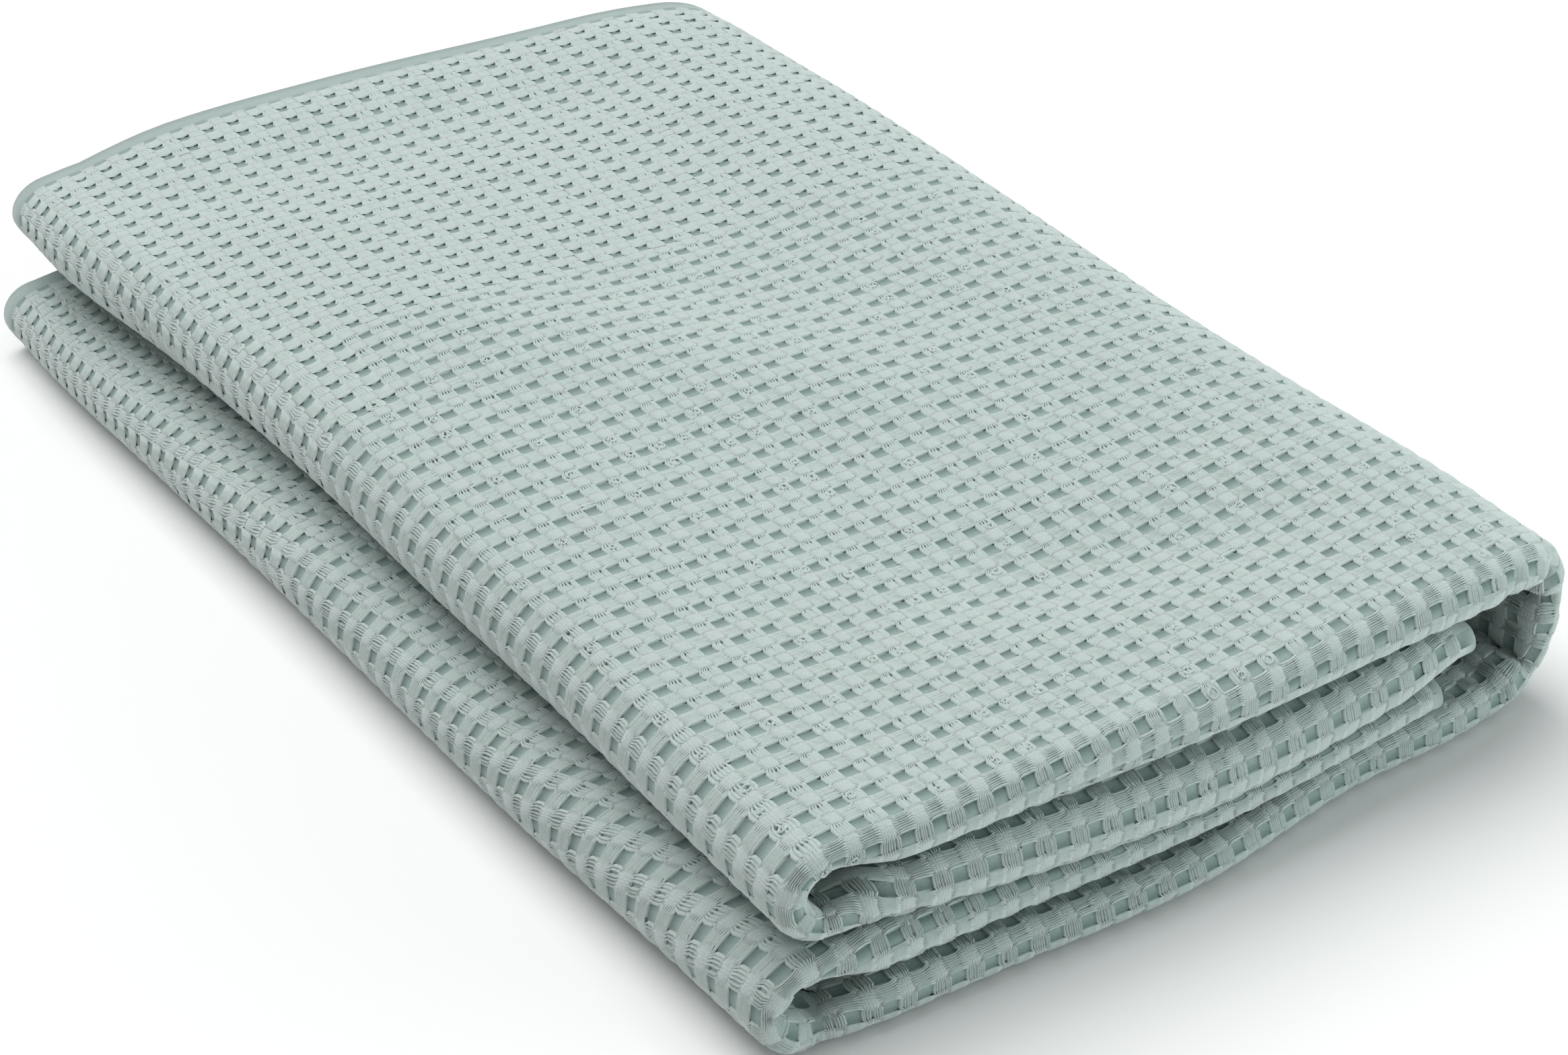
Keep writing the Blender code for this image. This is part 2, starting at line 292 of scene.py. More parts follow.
# creases: from and to (squares across and along), half width in squares, height (below 0 a trough)
creases = (
    (-15.0, -44.0, 14.0, -43.0, 5.0, -0.0027),  # soft unevenness of the top
    (-12.0, -34.0, 8.0, -11.0, 5.5, 0.0028),
    (-5.0, -8.5, 10.0, -2.5, 3.8, -0.0026),
    (12.0, 1.9, 12.3, 5.5, 0.65, 0.0016),       # pleats inside the wrap
    (12.8, 1.7, 13.2, 6.5, 0.50, -0.0026),
    (13.6, 1.7, 13.9, 5.5, 0.70, 0.0020),
    (14.4, 1.8, 14.6, 6.5, 0.45, -0.0026),
    (15.2, 1.8, 15.3, 5.0, 0.70, 0.0018),
    (16.9, 1.9, 16.8, 7.5, 0.45, -0.0028),
    (17.8, 1.9, 17.6, 5.5, 0.70, 0.0018),
    (10.6, 1.8, 10.9, 6.0, 0.55, -0.0014),
    (-14.9, 1.4, -15.1, 4.6, 0.60, 0.0010),     # puckers at the end of the upper groove
    (-15.8, 1.2, -16.0, 5.0, 0.45, -0.0018),
    (-16.9, 1.2, -17.2, 4.6, 0.70, 0.0014),
    (-18.0, 1.2, -18.1, 4.6, 0.50, -0.0014),
    (42.4, 1.4, 42.2, 5.0, 0.70, 0.0012),       # puckers at the end of the lower groove
    (43.4, 1.4, 43.3, 5.0, 0.45, -0.0016),
    (41.4, 1.4, 41.2, 4.6, 0.50, -0.0014),
)
creaseStart, creaseEnd = 4.0, 3.0   # how sharply a crease rises and dies away along its length


def creased(points, u, v):
    rise = np.zeros_like(u)
    for u0, v0, u1, v1, half, height in creases:
        du, dv = u1 - u0, v1 - v0
        t = ((u - u0) * du + (v - v0) * dv) / (du * du + dv * dv)
        off = np.hypot(u - u0 - du * np.clip(t, 0, 1), v - v0 - dv * np.clip(t, 0, 1))
        profile = smoothStep(1.0 - off / half)
        rise += height * smoothStep(t * creaseStart) * smoothStep((1.0 - t) * creaseEnd) * profile
    return points + outward(points) * rise[..., None]


def outward(points):
    # unit normals of a grid of points, on the cloth's outer face
    across, along = np.gradient(points, axis=1), np.gradient(points, axis=0)
    normal = np.cross(along, across)
    return normal / np.maximum(np.linalg.norm(normal, axis=-1, keepdims=True), 1e-12)


def clothMiddle():
    # the middle of the single cloth as rows of points, with each point's place in the weave
    stations = np.linspace(stack["back"], stack["front"], fineSteps["length"] + 1)[:, None]
    path, front = foldPath(stations), foldPath(np.array([[stack["front"]]]))
    x, z, s, dx, dz = path[:5]
    outer = np.stack([x + dx * s, alongPlace(path, stations), swellPlace(x, stations, z + dz * s)], -1)
    inner = np.stack([x - dx * s, alongPlace(path, stations, stack["innerHem"]),
                      swellPlace(x, stations, z - dz * s)], -1)
    a = (math.pi * np.arange(1, fineSteps["roll"]) / fineSteps["roll"])[:, None]
    fx, fz, fs, fdx, fdz = front[:, 0][:5]
    rollY = alongPlace(front, np.array([[stack["front"]]]))
    roll = np.stack([fx + fdx * fs * np.cos(a), rollY - fs * np.sin(a),
                     swellPlace(fx + 0 * a, np.full_like(a, stack["front"]), fz + fdz * fs * np.cos(a))], -1)
    middle = np.concatenate([outer, roll, inner[::-1]])

    def arcAcross(px, pz):
        # distance along each row of the fold, from the middle of the top panel
        step = np.hypot(np.diff(px, axis=1), np.diff(pz, axis=1))
        arc = np.concatenate([np.zeros((len(px), 1)), np.cumsum(step, axis=1)], axis=1)
        first = fineSteps["tongue"] + fineSteps["lip"]
        top = slice(first, first + fineSteps["panel"])
        zero = np.array([np.interp(0.0, px[r, top], arc[r, top]) for r in range(len(px))])
        return arc - zero[:, None]

    middleArc = arcAcross(x, z)
    skin = weave["skin"]
    ownArc = arcAcross(x + dx * (s + skin), z + dz * (s + skin))
    turned = smoothStep((stations - stack["front"]) / weave["skew"])
    rollArc = np.repeat(middleArc[-1:], len(a), axis=0)
    u = np.concatenate([mix(middleArc, ownArc, turned), rollArc, middleArc[::-1]])
    lengthwise = stack["front"] - stations + 0 * x
    half = (fs + skin) * math.pi
    column = np.arange(x.shape[1])
    inTongue = smoothStep((fineSteps["tongue"] - np.minimum(column, column[::-1])) / weave["tongueBlend"])
    centred = (weave["rollArc"] - half) / 2 * inTongue      # keeps a row of squares along a tongue's front
    v = centred + np.concatenate([lengthwise, (fs + skin) * a, half - lengthwise[::-1]])
    middle[..., 0] += stack["shift"][0]
    middle[..., 1] += stack["shift"][1]
    u, v = u / weave["pitch"], v / weave["pitch"]
    y = np.concatenate([stations, np.full_like(a, stack["front"]), stations[::-1]])
    slid = u - drift(driftSideways, u, y) + weave["uOffset"]
    v = v + drift(driftLengthways, u, y) + weave["vOffset"]
    return creased(middle, slid, v), slid, v


middle, uPlace, vPlace = clothMiddle()
normals = outward(middle)
print("cloth middle:", middle.shape, "squares across", uPlace.min().round(1), uPlace.max().round(1),
      "along", vPlace.min().round(1), vPlace.max().round(1))


def weaveTable():
    # the same surface and its normals at even steps of the weave, for laying the raised weave on it
    step = weave["tableStep"]
    us = np.arange(uPlace.min(), uPlace.max() + step, step)
    vs = np.arange(vPlace.min(), vPlace.max() + step, step)
    channels = np.concatenate([vPlace[..., None], middle, normals], axis=-1)
    kept = range(channels.shape[-1])
    even = np.stack([np.stack([np.interp(us, uPlace[r], channels[r, :, k]) for k in kept], -1)
                     for r in range(len(middle))])
    table = np.stack([np.stack([np.interp(vs, even[:, c, 0], even[:, c, k]) for k in kept], -1)
                      for c in range(len(us))], 1)
    return us, vs, table[..., 1:4], table[..., 4:7]


tableU, tableV, tablePoints, tableNormals = weaveTable()


def onCloth(u, v, h):
    # the point h metres above the cloth's middle at a place in the weave
    step = weave["tableStep"]
    a = np.clip((u - tableU[0]) / step, 0, len(tableU) - 1.001)
    b = np.clip((v - tableV[0]) / step, 0, len(tableV) - 1.001)
    i, j = a.astype(int), b.astype(int)
    fa, fb = (a - i)[:, None], (b - j)[:, None]

    def sample(grid):
        return mix(mix(grid[j, i], grid[j, i + 1], fa), mix(grid[j + 1, i], grid[j + 1, i + 1], fa), fb)

    normal = sample(tableNormals)
    normal /= np.linalg.norm(normal, axis=1, keepdims=True)
    return sample(tablePoints) + normal * h[:, None]


print("weave table:", tablePoints.shape)


def placeOnCloth(obj, u, v, h, depth):
    # puts a mesh's points on the cloth and keeps their place in the weave and their depth, the share of
    # painted shade, for the materials
    mesh = obj.data
    mesh.vertices.foreach_set("co", onCloth(u, v, h).astype(np.float32).ravel())
    attribute = mesh.attributes.new("weave", "FLOAT_VECTOR", "POINT")
    attribute.data.foreach_set("vector", np.stack([u, v, depth], 1).astype(np.float32).ravel())
    mesh.update()
    mesh.shade_smooth()
    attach(obj, "root")
    return obj


def newPiece(name, bm, material):
    mesh = bpy.data.meshes.new(name)
    bm.to_mesh(mesh)
    bm.free()
    obj = bpy.data.objects.new(name, mesh)
    bpy.context.scene.collection.objects.link(obj)
    mesh.materials.append(material)
    return obj


def applied(obj):
    # the mesh with its modifiers applied
    bpy.context.view_layer.update()
    evaluated = obj.evaluated_get(bpy.context.evaluated_depsgraph_get())
    mesh = bpy.data.meshes.new_from_object(evaluated)
    old = obj.data
    obj.modifiers.clear()
    obj.data = mesh
    bpy.data.meshes.remove(old)
    mesh.name = obj.name
    return obj


def repeated(obj, *counts):
    # joined copies of one small shape, which come out copy after copy
    for count in counts:
        array = obj.modifiers.new("copies", "ARRAY")
        array.count = count
        array.use_relative_offset = False
    return applied(obj)


def copyNumbers(total, *sizes):
    # for each point: its number in the shape, then the number of the copy at each level
    numbers, at = [], np.arange(total)
    for size in sizes:
        numbers.append(at % size)
        at = at // size
    return numbers


# the cotton: colours of its parts and of its painted shade, then how its surface looks and feels
yarn = {
    "pad": (0.490, 0.562, 0.552),
    "light": (0.512, 0.592, 0.570),     # tops of the strands
    "window": (0.315, 0.400, 0.383),    # the ground cloth in the windows, darkened with painted shade for the recesses
    # painted shadow at a window's rear side, cast by the strands behind it
    "windowRearShade": (0.150, 0.215, 0.203),
    "hem": (0.335, 0.415, 0.400),       # plain woven edges
    "deep": (0.430, 0.520, 0.498),      # painted shade between and under the strands and on the pads' sides
    "soften": (0.35, 0.0007),           # share and reach of the light that spreads inside the yarn
    "roughness": 0.95,
    "sheen": 0.20,
    "sheenRoughness": 0.5,
    "specular": 0.15,
    "mottle": 0.07,                     # unevenness over a few squares
    "mottleScale": 55.0,
    "fuzz": 0.20,                       # and over a few threads
    "fuzzScale": 1300.0,
    "noiseDetail": 3.0,
    "fuzzBump": 0.00016,
    "threads": 12.5,                    # fine lines on a pad, to a square
    "threadDepth": 0.00005,
    "threadWaver": 9.0,
    "threadTurn": 0.08,                 # squares, where the lines across give way to those along
    "windowHalf": (0.235, 0.215),       # squares
    "windowEdge": 0.05,
    "paintedDepth": 0.0008,             # relief that is only bump
}


class Cotton:
    # a cotton material and the steps that add nodes to it
    def __init__(self, name):
        self.material = bpy.data.materials.new(name)
        self.material.use_nodes = True
        self.tree = self.material.node_tree
        self.shader = self.tree.nodes["Principled BSDF"]
        self.shader.inputs["Roughness"].default_value = yarn["roughness"]
        self.shader.inputs["Sheen Weight"].default_value = yarn["sheen"]
        self.shader.inputs["Sheen Roughness"].default_value = yarn["sheenRoughness"]
        self.shader.inputs["Specular IOR Level"].default_value = yarn["specular"]
        self.shader.inputs["Subsurface Weight"].default_value = yarn["soften"][0]
        self.shader.inputs["Subsurface Scale"].default_value = yarn["soften"][1]
        self.shader.inputs["Subsurface Radius"].default_value = (1.0, 1.0, 1.0)
        place = self.add("ShaderNodeAttribute", attribute_name="weave")
        parts = self.add("ShaderNodeSeparateXYZ")
        self.tree.links.new(place.outputs["Vector"], parts.inputs[0])
        self.u, self.v, self.depth = parts.outputs
        coords = self.add("ShaderNodeTexCoord")
        self.mottle = self.add("ShaderNodeTexNoise", Scale=yarn["mottleScale"], Detail=yarn["noiseDetail"])
        self.fuzz = self.add("ShaderNodeTexNoise", Scale=yarn["fuzzScale"], Detail=yarn["noiseDetail"])
        for noise in (self.mottle, self.fuzz):
            self.tree.links.new(coords.outputs["Object"], noise.inputs["Vector"])

    def add(self, kind, **values):
        made = self.tree.nodes.new(kind)
        for key, value in values.items():
            if key in made.inputs:
                made.inputs[key].default_value = value
            else:
                setattr(made, key, value)
        return made

    def math(self, operation, *values):
        made = self.add("ShaderNodeMath", operation=operation)
        for k, value in enumerate(values):
            if isinstance(value, (int, float)):
                made.inputs[k].default_value = value
            else:
                self.tree.links.new(value, made.inputs[k])
        return made.outputs[0]

    def between(self, value, low, high):
        made = self.add("ShaderNodeMapRange", interpolation_type="SMOOTHSTEP")
        made.inputs["From Min"].default_value = low
        made.inputs["From Max"].default_value = high
        self.tree.links.new(value, made.inputs["Value"])
        return made.outputs["Result"]

    def blend(self, share, a, b):
        made = self.add("ShaderNodeMix", data_type="RGBA")
        self.tree.links.new(share, made.inputs[0])
        for socket, colour in ((made.inputs[6], a), (made.inputs[7], b)):
            if isinstance(colour, tuple):
                socket.default_value = (*colour, 1.0)
            else:
                self.tree.links.new(colour, socket)
        return made.outputs[2]

    def window(self):
        # 1 in the windows of the weave, 0 around them
        halfU, halfV = yarn["windowHalf"]
        reaches = []
        for place, half in ((self.u, halfU), (self.v, halfV)):
            off = self.math("ABSOLUTE", self.math("SUBTRACT", self.math("FRACT", place), 0.5))
            reaches.append(self.between(off, half + yarn["windowEdge"] / 2, half - yarn["windowEdge"] / 2))
        return self.math("MULTIPLY", *reaches)

    def shade(self):
        # where a window's painted shadow fades: 0 at its rear side, 1 at its front
        half = yarn["windowHalf"][1]
        return self.between(self.math("FRACT", self.v), 0.5 - half, 0.5 + half)

    def threads(self):
        # fine lines that lead to the strands on a pad's four sides
        places = [self.math("SUBTRACT", self.math("FRACT", self.math("ADD", place, 0.5)), 0.5)
                  for place in (self.u, self.v)]
        apart = self.math("SUBTRACT", *[self.math("ABSOLUTE", place) for place in places])
        waver = self.math("MULTIPLY", self.mottle.outputs["Fac"], yarn["threadWaver"])
        turns = yarn["threads"] * 2 * math.pi
        overAlong, overAcross = [
            self.math("SINE", self.math("ADD", self.math("MULTIPLY", place, turns), waver))
            for place in places]
        difference = self.math("SUBTRACT", overAcross, overAlong)
        turned = self.between(apart, -yarn["threadTurn"], yarn["threadTurn"])
        return self.math("ADD", overAlong, self.math("MULTIPLY", difference, turned))

    def finish(self, colour, relief=None):
        uneven = self.math("ADD", self.math("MULTIPLY", self.mottle.outputs["Fac"], yarn["mottle"]),
                           self.math("MULTIPLY", self.fuzz.outputs["Fac"], yarn["fuzz"]))
        tone = self.add("ShaderNodeHueSaturation")
        brightness = self.math("ADD", uneven, 1.0 - (yarn["mottle"] + yarn["fuzz"]) / 2)
        self.tree.links.new(brightness, tone.inputs["Value"])
        self.tree.links.new(colour, tone.inputs["Color"])
        self.tree.links.new(tone.outputs["Color"], self.shader.inputs["Base Color"])
        bump = self.add("ShaderNodeBump", Strength=1.0, Distance=1.0)
        height = self.math("MULTIPLY", self.fuzz.outputs["Fac"], yarn["fuzzBump"])
        if relief is not None:
            height = self.math("ADD", height, relief)
        self.tree.links.new(height, bump.inputs["Height"])
        self.tree.links.new(bump.outputs["Normal"], self.shader.inputs["Normal"])
        return self.material


def raisedCotton(name, face, threaded=False):
    # depth runs from 0 on the faces to 1 on the sides, and is the share of painted shade in the deep colour
    cotton = Cotton(name)
    relief = cotton.math("MULTIPLY", cotton.threads(), yarn["threadDepth"]) if threaded else None
    return cotton.finish(cotton.blend(cotton.depth, face, yarn["deep"]), relief)


def groundCotton(name):
    # depth is 0 under raised weave, 1 where the weave is painted, 2 on the hems; under raised weave the
    # cloth around the windows takes the deep colour as painted shade
    cotton = Cotton(name)
    window = cotton.window()
    painted = cotton.between(cotton.depth, 0.0, 1.0)
    plain = cotton.between(cotton.depth, 1.0, 2.0)
    # painted shade under the raised weave, the light colour where the weave is only painted
    around = cotton.blend(painted, yarn["deep"], yarn["light"])
    # painted shadow at each window's rear side
    inside = cotton.blend(cotton.shade(), yarn["windowRearShade"], yarn["window"])
    colour = cotton.blend(plain, cotton.blend(window, around, inside), yarn["hem"])
    share = cotton.math("SUBTRACT", painted, plain)
    relief = cotton.math("MULTIPLY", cotton.math("MULTIPLY", window, share), -yarn["paintedDepth"])
    return cotton.finish(colour, relief)


padMaterial = raisedCotton("padCotton", yarn["pad"], threaded=True)
strandMaterial = raisedCotton("strandCotton", yarn["light"])
groundMaterial = groundCotton("groundCotton")

# how finely the weave is raised: grid steps of a pad, then strands and segments
# of the floats across and of the floats along
finest = (3, (9, 3), (8, 3))
fine = (3, (7, 3), (6, 3))
plain = (3, (6, 2), (5, 2))
coarse = (2, (2, 1), (3, 1))
# and where: squares covered, across and along
regions = {
    "Top": ((-11, 11), (-9, 0), finest),
    "TopMiddle": ((-11, 11), (-30, -10), fine),
    "TopRear": ((-11, 11), (-50, -31), plain),
    "UpperLip": ((-21, -12), (-25, 0), fine),
    "UpperLipRear": ((-21, -12), (-50, -26), plain),
    "LowerLip": ((42, 54), (-25, 0), fine),
    "LowerLipRear": ((42, 54), (-50, -26), plain),
    "Wrap": ((12, 21), (-12, 0), fine),
    "WrapRear": ((12, 21), (-50, -13), plain),
    "Under": ((22, 41), (-50, 0), coarse),
    "Rolls": ((-21, 54), (1, 4), finest),
    "UpperTongue": ((-36, -22), (1, 6), finest),
    "LowerTongue": ((55, 65), (0, 4), finest),
}

# the ground cloth: a thin woven sheet under the raised weave, with its hems
ground = {
    "top": 0.00075,             # its face over the cloth's middle
    "thickness": 0.0024,
    "hem": 0.0052,              # visible width
    "hemTop": 0.00190,
    "selvedge": 0.0035,         # width of the side edges' plain strip
    "margin": 0.5,              # squares around a region that its raised weave hides
    "flat": (1.056, 1.021),     # cut size
    "flatRows": 44,             # lines kept along a layer and around a roll
    "rollRows": 13,
    "columns": (14, 18, 30, 26, 30, 18, 14),    # steps across: tongue, lip, panel, wrap and back
    "stripColumn": 2,           # the fine column where a side edge's plain strip ends
}


def pickLines(count, keep):
    # numbers of the fine lines to keep, with both ends
    return np.unique(np.clip(np.round(keep), 0, count - 1).astype(int))


def groundLines():
    # even steps on the flats and finer ones in the turns
    n, roll = fineSteps, fineSteps["roll"]
    layer = n["length"]
    hemRow = ground["hem"] / (stack["back"] - stack["front"]) * layer
    flat = np.concatenate([[0, hemRow, hemRow + 1], np.linspace(hemRow + 3, layer, ground["flatRows"])])
    last = 2 * layer + roll
    around = layer + np.linspace(0, roll, ground["rollRows"])
    rows = pickLines(last + 1, np.concatenate([flat, around, last - flat]))
    edges = np.cumsum([0, n["tongue"], n["lip"], n["panel"], n["wrap"], n["panel"], n["lip"], n["tongue"]])
    columns = [np.linspace(a, b, c + 1) for a, b, c in zip(edges[:-1], edges[1:], ground["columns"])]
    strip = np.array([0, ground["stripColumn"]])
    columns = pickLines(edges[-1] + 1, np.concatenate([*columns, strip, edges[-1] - strip]))
    return rows, columns


def buildGround():
    rows, columns = groundLines()
    points, normal = middle[np.ix_(rows, columns)], normals[np.ix_(rows, columns)]
    u, v = uPlace[np.ix_(rows, columns)], vPlace[np.ix_(rows, columns)]
    toEnd = np.minimum(v - vPlace[0, 0], vPlace[-1][columns][None, :] - v) * weave["pitch"]
    toSide = np.minimum(u - u[:, :1], u[:, -1:] - u) * weave["pitch"]
    hem = (toEnd < ground["hem"]) | (toSide < ground["selvedge"])
    bm = bmesh.new()
    bmesh.ops.create_grid(bm, x_segments=len(columns) - 1, y_segments=len(rows) - 1, size=1.0)
    obj = newPiece("groundCloth", bm, groundMaterial)
    lift = np.where(hem, ground["hemTop"], ground["top"])
    place = points + normal * lift[..., None]
    obj.data.vertices.foreach_set("co", place.astype(np.float32).ravel())
    covered = np.zeros_like(u, bool)
    margin = ground["margin"]
    for iRange, jRange, _ in regions.values():
        inAcross = (u > iRange[0] - margin) & (u < iRange[1] + margin)
        covered |= inAcross & (v > jRange[0] - margin) & (v < jRange[1] + margin)
    # where raised weave covers the cloth, the material paints shade around the windows
    depth = np.where(hem, 2.0, np.where(covered, 0.0, 1.0))
    attribute = obj.data.attributes.new("weave", "FLOAT_VECTOR", "POINT")
    attribute.data.foreach_set("vector", np.stack([u, v, depth], -1).astype(np.float32).ravel())
    obj.data.flip_normals()
    solidify = obj.modifiers.new("thickness", "SOLIDIFY")
    solidify.thickness = ground["thickness"]
    solidify.offset = -1.0
    applied(obj)
    obj.data.shade_smooth()
    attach(obj, "root")
    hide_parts("blanket")
    return obj


groundCloth = buildGround()
print("ground cloth:", len(groundCloth.data.polygons), "faces")

# the raised weave: flat pads joined by floats of loose strands
pads = {
    "half": 0.35,               # squares, half a pad's width
    "inner": 1.72,              # how far the inner points are drawn out
    "roundness": 3.6,
    "rimCorner": 0.00090,       # heights over the cloth's middle
    "rimSide": 0.00140,
    "edge": 0.00168,
    "top": 0.00173,
    "sideShade": 0.25,          # share of painted shade on the pads' sides
    "puff": 0.00003,            # unevenness from pad to pad
    "wander": 0.014,            # squares, unevenness of a pad's place
    "stretch": 0.06,            # and of its size, as a share
}
floats = {
    "spread": 1.35,             # draws a strand's inner points towards its ends, where it leaves the pad
    "section": 0.866,           # half the width of a three-sided section of radius 1
    "underside": (0.00120, 0.00064),        # at the ends and in the middle
    "farSegments": 2,           # strands with no more segments than this lie far from the eye
    "farUnderside": (0.00156, 0.00066),
    "farWidth": 1.20,           # and are this much wider
    "dropAtEnds": 0.4,
    "eyePlace": 0.5,            # how far an eye can be from the middle of its float
    "eyeSize": (-0.3, 1.0),     # below 0 there is none
    "eyeFall": 0.7,             # how much less the outer strands make way for it
    "loose": 0.010,             # squares, unevenness of each strand
    "lift": 0.00004,
}
# floats across lie close and are waisted, floats along are splayed, with an eye between two strands;
# drop is how much lower the outer strands lie
across = {
    "length": 0.60,             # squares, from pad to pad
    "half": 0.246,
    "ends": 1.26,
    "width": 1.65,
    "endHeight": 0.00167,
    "middleHeight": 0.00176,
    "drop": 0.00030,
    "slack": 0.012,
    "eye": 0.0,
}
along = {
    "length": 0.58,
    "half": 0.310,
    "ends": 0.64,
    "width": 1.08,
    "endHeight": 0.00158,
    "middleHeight": 0.00182,
    "drop": 0.00024,
    "slack": 0.014,
    "eye": 0.055,
}
# small curls of loose yarn on some of the floats along
curls = {
    "across": (-13, 13),        # squares covered
    "along": (-28, 1),
    "share": 0.17,              # of the floats that have one
    "segments": 8,
    "turn": 0.92,               # of a full ring
    "radius": 0.115,            # squares
    "uneven": 0.2,              # of the radius, as a share
    "thread": 0.040,
    "height": 0.00198,
    "underside": 0.00150,
    # share of painted shade on a curl's underside
    "sideShade": 0.3,
    "wander": 0.05,
}
seeds = {"pads": 100, "across": 200, "along": 300, "curls": 400}


def padShape(steps):
    # a small cushion: a square grid with round shoulders, closed below
    bm = bmesh.new()
    bmesh.ops.create_grid(bm, x_segments=steps, y_segments=steps, size=1.0)
    rim = [e for e in bm.edges if e.is_boundary]
    bmesh.ops.contextual_create(bm, geom=rim)
    bmesh.ops.recalc_face_normals(bm, faces=bm.faces)
    return bm


def strandShape(segments):
    # one straight strand with a three-sided section, lying along Z from 0 to 1
    bm = bmesh.new()
    bmesh.ops.create_cone(bm, cap_ends=True, segments=3, radius1=1.0, radius2=1.0, depth=1.0)
    bmesh.ops.translate(bm, verts=bm.verts, vec=(0.0, 0.0, 0.5))
    if segments > 1:
        sides = [e for e in bm.edges if abs(e.verts[0].co.z - e.verts[1].co.z) > 0.5]
        bmesh.ops.subdivide_edges(bm, edges=sides, cuts=segments - 1, use_grid_fill=True)
    for edge in bm.edges:
        edge.smooth = not (edge.verts[0].co.y < 0 and edge.verts[1].co.y < 0)
    return bm


def layPads(name, steps, iRange, jRange, seed):
    obj = newPiece(name, padShape(steps), padMaterial)
    shape = np.array([v.co for v in obj.data.vertices])
    columns, rows = iRange[1] - iRange[0] + 1, jRange[1] - jRange[0] + 1
    repeated(obj, columns, rows)
    k, i, j = copyNumbers(len(obj.data.vertices), len(shape), columns, rows)
    random = np.random.default_rng(seed)
    x, y = shape[k, 0], shape[k, 1]
    reach = np.maximum(np.abs(x), np.abs(y))
    onRim, offCentre = reach > 0.9, reach > 0.1
    p = pads["roundness"]
    rounded = (np.abs(x) ** p + np.abs(y) ** p) ** (1 / p)
    scale = np.where(onRim, 1.0, pads["inner"]) * reach / np.maximum(rounded, 1e-9)
    corner = np.minimum(np.abs(x), np.abs(y))
    rim = mix(pads["rimSide"], pads["rimCorner"], corner ** 2)
    height = np.where(onRim, rim, np.where(offCentre, pads["edge"], pads["top"]))
    cells = (rows, columns)
    puff = random.normal(0, pads["puff"], cells)[j, i] * ~onRim
    du, dv = random.normal(0, pads["wander"], (2, *cells))[:, j, i]
    wide, long = random.normal(1, pads["stretch"], (2, *cells))[:, j, i]
    u = i + iRange[0] + x * scale * wide * pads["half"] + du
    v = j + jRange[0] - y * scale * long * pads["half"] + dv
    # the rims take painted shade
    return placeOnCloth(obj, u, v, height + puff, np.where(onRim, pads["sideShade"], 0.0))


def layFloats(name, kind, detail, iRange, jRange, seed):
    strands, segments = detail
    obj = newPiece(name, strandShape(segments), strandMaterial)
    shape = np.array([v.co for v in obj.data.vertices])
    columns, rows = iRange[1] - iRange[0] + 1, jRange[1] - jRange[0] + 1
    repeated(obj, strands, columns, rows)
    k, n, i, j = copyNumbers(len(obj.data.vertices), len(shape), strands, columns, rows)
    random = np.random.default_rng(seed)
    t = 0.5 + np.clip((shape[k, 2] - 0.5) * floats["spread"], -0.5, 0.5)
    arch = np.sin(math.pi * t)
    side = (2 * n + 1) / strands - 1
    cells = (rows, columns)
    slack = random.normal(0, kind["slack"], cells)[j, i]
    eyePlace = random.uniform(-floats["eyePlace"], floats["eyePlace"], cells)[j, i]
    eye = (kind["eye"] * np.maximum(random.uniform(*floats["eyeSize"], cells), 0.0))[j, i]
    loose = random.normal(0, floats["loose"], (*cells, strands))[j, i, n]
    lift = random.normal(0, floats["lift"], (*cells, strands))[j, i, n]
    half = kind["half"] * mix(kind["ends"], 1.0, arch)
    apart = np.sign(side - eyePlace) * eye * (1.0 - np.abs(side) * floats["eyeFall"])
    far = segments <= floats["farSegments"]
    underside = floats["farUnderside"] if far else floats["underside"]
    width = kind["half"] / strands * kind["width"] / floats["section"] * (floats["farWidth"] if far else 1.0)
    sideways = side * half + (slack + loose + apart) * arch + shape[k, 0] * width
    lengthways = (t - 0.5) * kind["length"]
    drop = kind["drop"] * side ** 2 * mix(floats["dropAtEnds"], 1.0, arch)
    height = mix(kind["endHeight"], kind["middleHeight"], arch) - drop
    top = shape[k, 1] > 0
    height = np.where(top, height + lift * arch, mix(*underside, arch))
    # painted shade on the strands' lower sides, strongest under the middle of a float
    depth = np.where(top, 0.0, arch)
    if kind is across:
        u, v = i + 0.5 + iRange[0] + lengthways, j + jRange[0] - sideways
    else:
        u, v = i + iRange[0] + sideways, j + 0.5 + jRange[0] + lengthways
    return placeOnCloth(obj, u, v, height, depth)


def layCurls(name, iRange, jRange, seed):
    # strands bent into small open rings, on floats chosen at random
    random = np.random.default_rng(seed)
    cells = (jRange[1] - jRange[0] + 1, iRange[1] - iRange[0] + 1)
    chosen = np.argwhere(random.random(cells) < curls["share"])
    obj = newPiece(name, strandShape(curls["segments"]), strandMaterial)
    shape = np.array([v.co for v in obj.data.vertices])
    repeated(obj, len(chosen))
    k, n = copyNumbers(len(obj.data.vertices), len(shape), len(chosen))
    j, i = chosen[n].T
    start = random.uniform(0, 2 * math.pi, len(chosen))[n]
    angle = start + shape[k, 2] * 2 * math.pi * curls["turn"]
    size = random.normal(1, curls["uneven"], len(chosen))[n]
    radius = curls["radius"] * size + shape[k, 0] * curls["thread"]
    du, dv = random.normal(0, curls["wander"], (2, len(chosen)))[:, n]
    u = i + iRange[0] + du + radius * np.cos(angle)
    v = j + 0.5 + jRange[0] + dv + radius * np.sin(angle)
    top = shape[k, 1] > 0
    height = np.where(top, curls["height"], curls["underside"])
    # the undersides take painted shade
    return placeOnCloth(obj, u, v, height, np.where(top, 0.0, curls["sideShade"]))


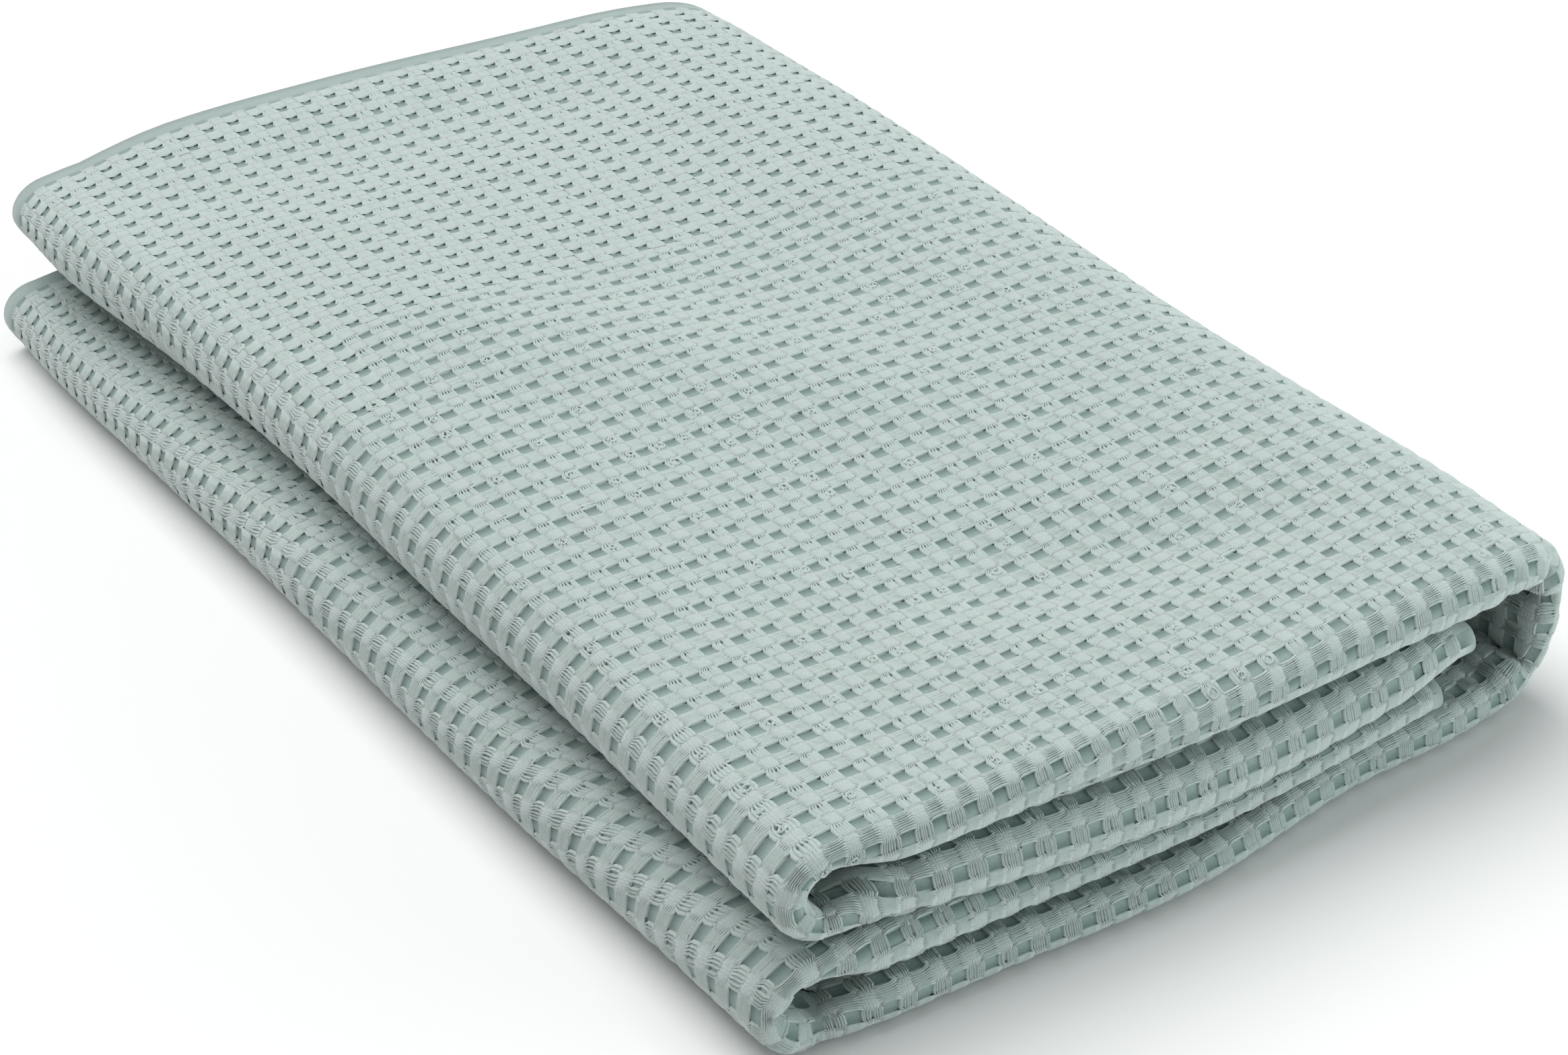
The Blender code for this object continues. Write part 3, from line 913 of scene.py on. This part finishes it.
raised = []
for number, (region, (iRange, jRange, (steps, acrossDetail, alongDetail))) in enumerate(regions.items()):
    squares = (iRange, jRange)
    raised += [
        layPads("pads" + region, steps, *squares, seeds["pads"] + number),
        layFloats("floatsAcross" + region, across, acrossDetail, *squares, seeds["across"] + number),
        layFloats("floatsAlong" + region, along, alongDetail, *squares, seeds["along"] + number),
    ]
    print("raised weave:", region)
raised.append(layCurls("curls", curls["across"], curls["along"], seeds["curls"]))
total = 0
for obj in [groundCloth] + raised:
    obj.data.calc_loop_triangles()
    total += len(obj.data.loop_triangles)
    print("  ", obj.name, len(obj.data.loop_triangles))
print("triangles in all:", total)

# the photograph's camera, solved from the weave's grid
camera = {
    "place": (-0.3535, -0.7243, 0.4849),
    "turn": (58.01, 3.55, -30.35),      # degrees
    "lens": 64.66,              # millimetres
    "sensor": 36.0,
}
cameraData = bpy.data.cameras.new("camera")
cameraData.lens = camera["lens"]
cameraData.sensor_width = camera["sensor"]
cameraObject = bpy.data.objects.new("camera", cameraData)
cameraObject.location = camera["place"]
cameraObject.rotation_euler = [math.radians(a) for a in camera["turn"]]
bpy.context.scene.collection.objects.link(cameraObject)
bpy.context.scene.camera = cameraObject

# a pale floor under a broad key light above and behind, and a weak fill from the front
studio = {
    "floorSize": 6.0,
    "floorDrop": 0.0004,        # keeps the floor clear of the cloth's underside
    "floorColour": (0.90, 0.90, 0.90),
    "floorRoughness": 0.85,
    "world": (1.0, 1.0, 1.0),
    "worldStrength": 0.30,
    "aim": (0.0, 0.0, 0.03),    # both lights face this
    "keyPlace": (-0.30, 1.5, 4.0),
    "keySize": 4.4,
    "keyPower": 202.0,
    "keyColour": (1.0, 1.0, 1.0),
    "fillPlace": (1.1, -1.4, 0.35),
    "fillSize": 1.2,
    "fillPower": 15.5,
    "fillColour": (0.88, 1.0, 0.98),
}


def floorMaterial():
    material = bpy.data.materials.new("paleFloor")
    material.use_nodes = True
    shader = material.node_tree.nodes["Principled BSDF"]
    shader.inputs["Base Color"].default_value = (*studio["floorColour"], 1.0)
    shader.inputs["Roughness"].default_value = studio["floorRoughness"]
    return material


def buildFloor():
    bm = bmesh.new()
    bmesh.ops.create_grid(bm, x_segments=1, y_segments=1, size=studio["floorSize"] / 2)
    floor = newPiece("floor", bm, floorMaterial())
    floor.data.transform(Matrix.Translation((0.0, 0.0, -studio["floorDrop"])))


def areaLight(name):
    light = bpy.data.lights.new(name + "Light", "AREA")
    light.energy = studio[name + "Power"]
    light.color = studio[name + "Colour"]
    light.size = studio[name + "Size"]
    obj = bpy.data.objects.new(name + "Light", light)
    obj.location = studio[name + "Place"]
    direction = Vector(studio["aim"]) - obj.location
    obj.rotation_euler = direction.to_track_quat("-Z", "Y").to_euler()
    bpy.context.scene.collection.objects.link(obj)


buildFloor()
areaLight("key")
areaLight("fill")
print("camera, floor and lights placed")
world = bpy.data.worlds.new("studio")
bpy.context.scene.world = world
world.use_nodes = True
world.node_tree.nodes["Background"].inputs["Color"].default_value = (*studio["world"], 1.0)
world.node_tree.nodes["Background"].inputs["Strength"].default_value = studio["worldStrength"]
bpy.context.scene.view_settings.view_transform = "Standard"
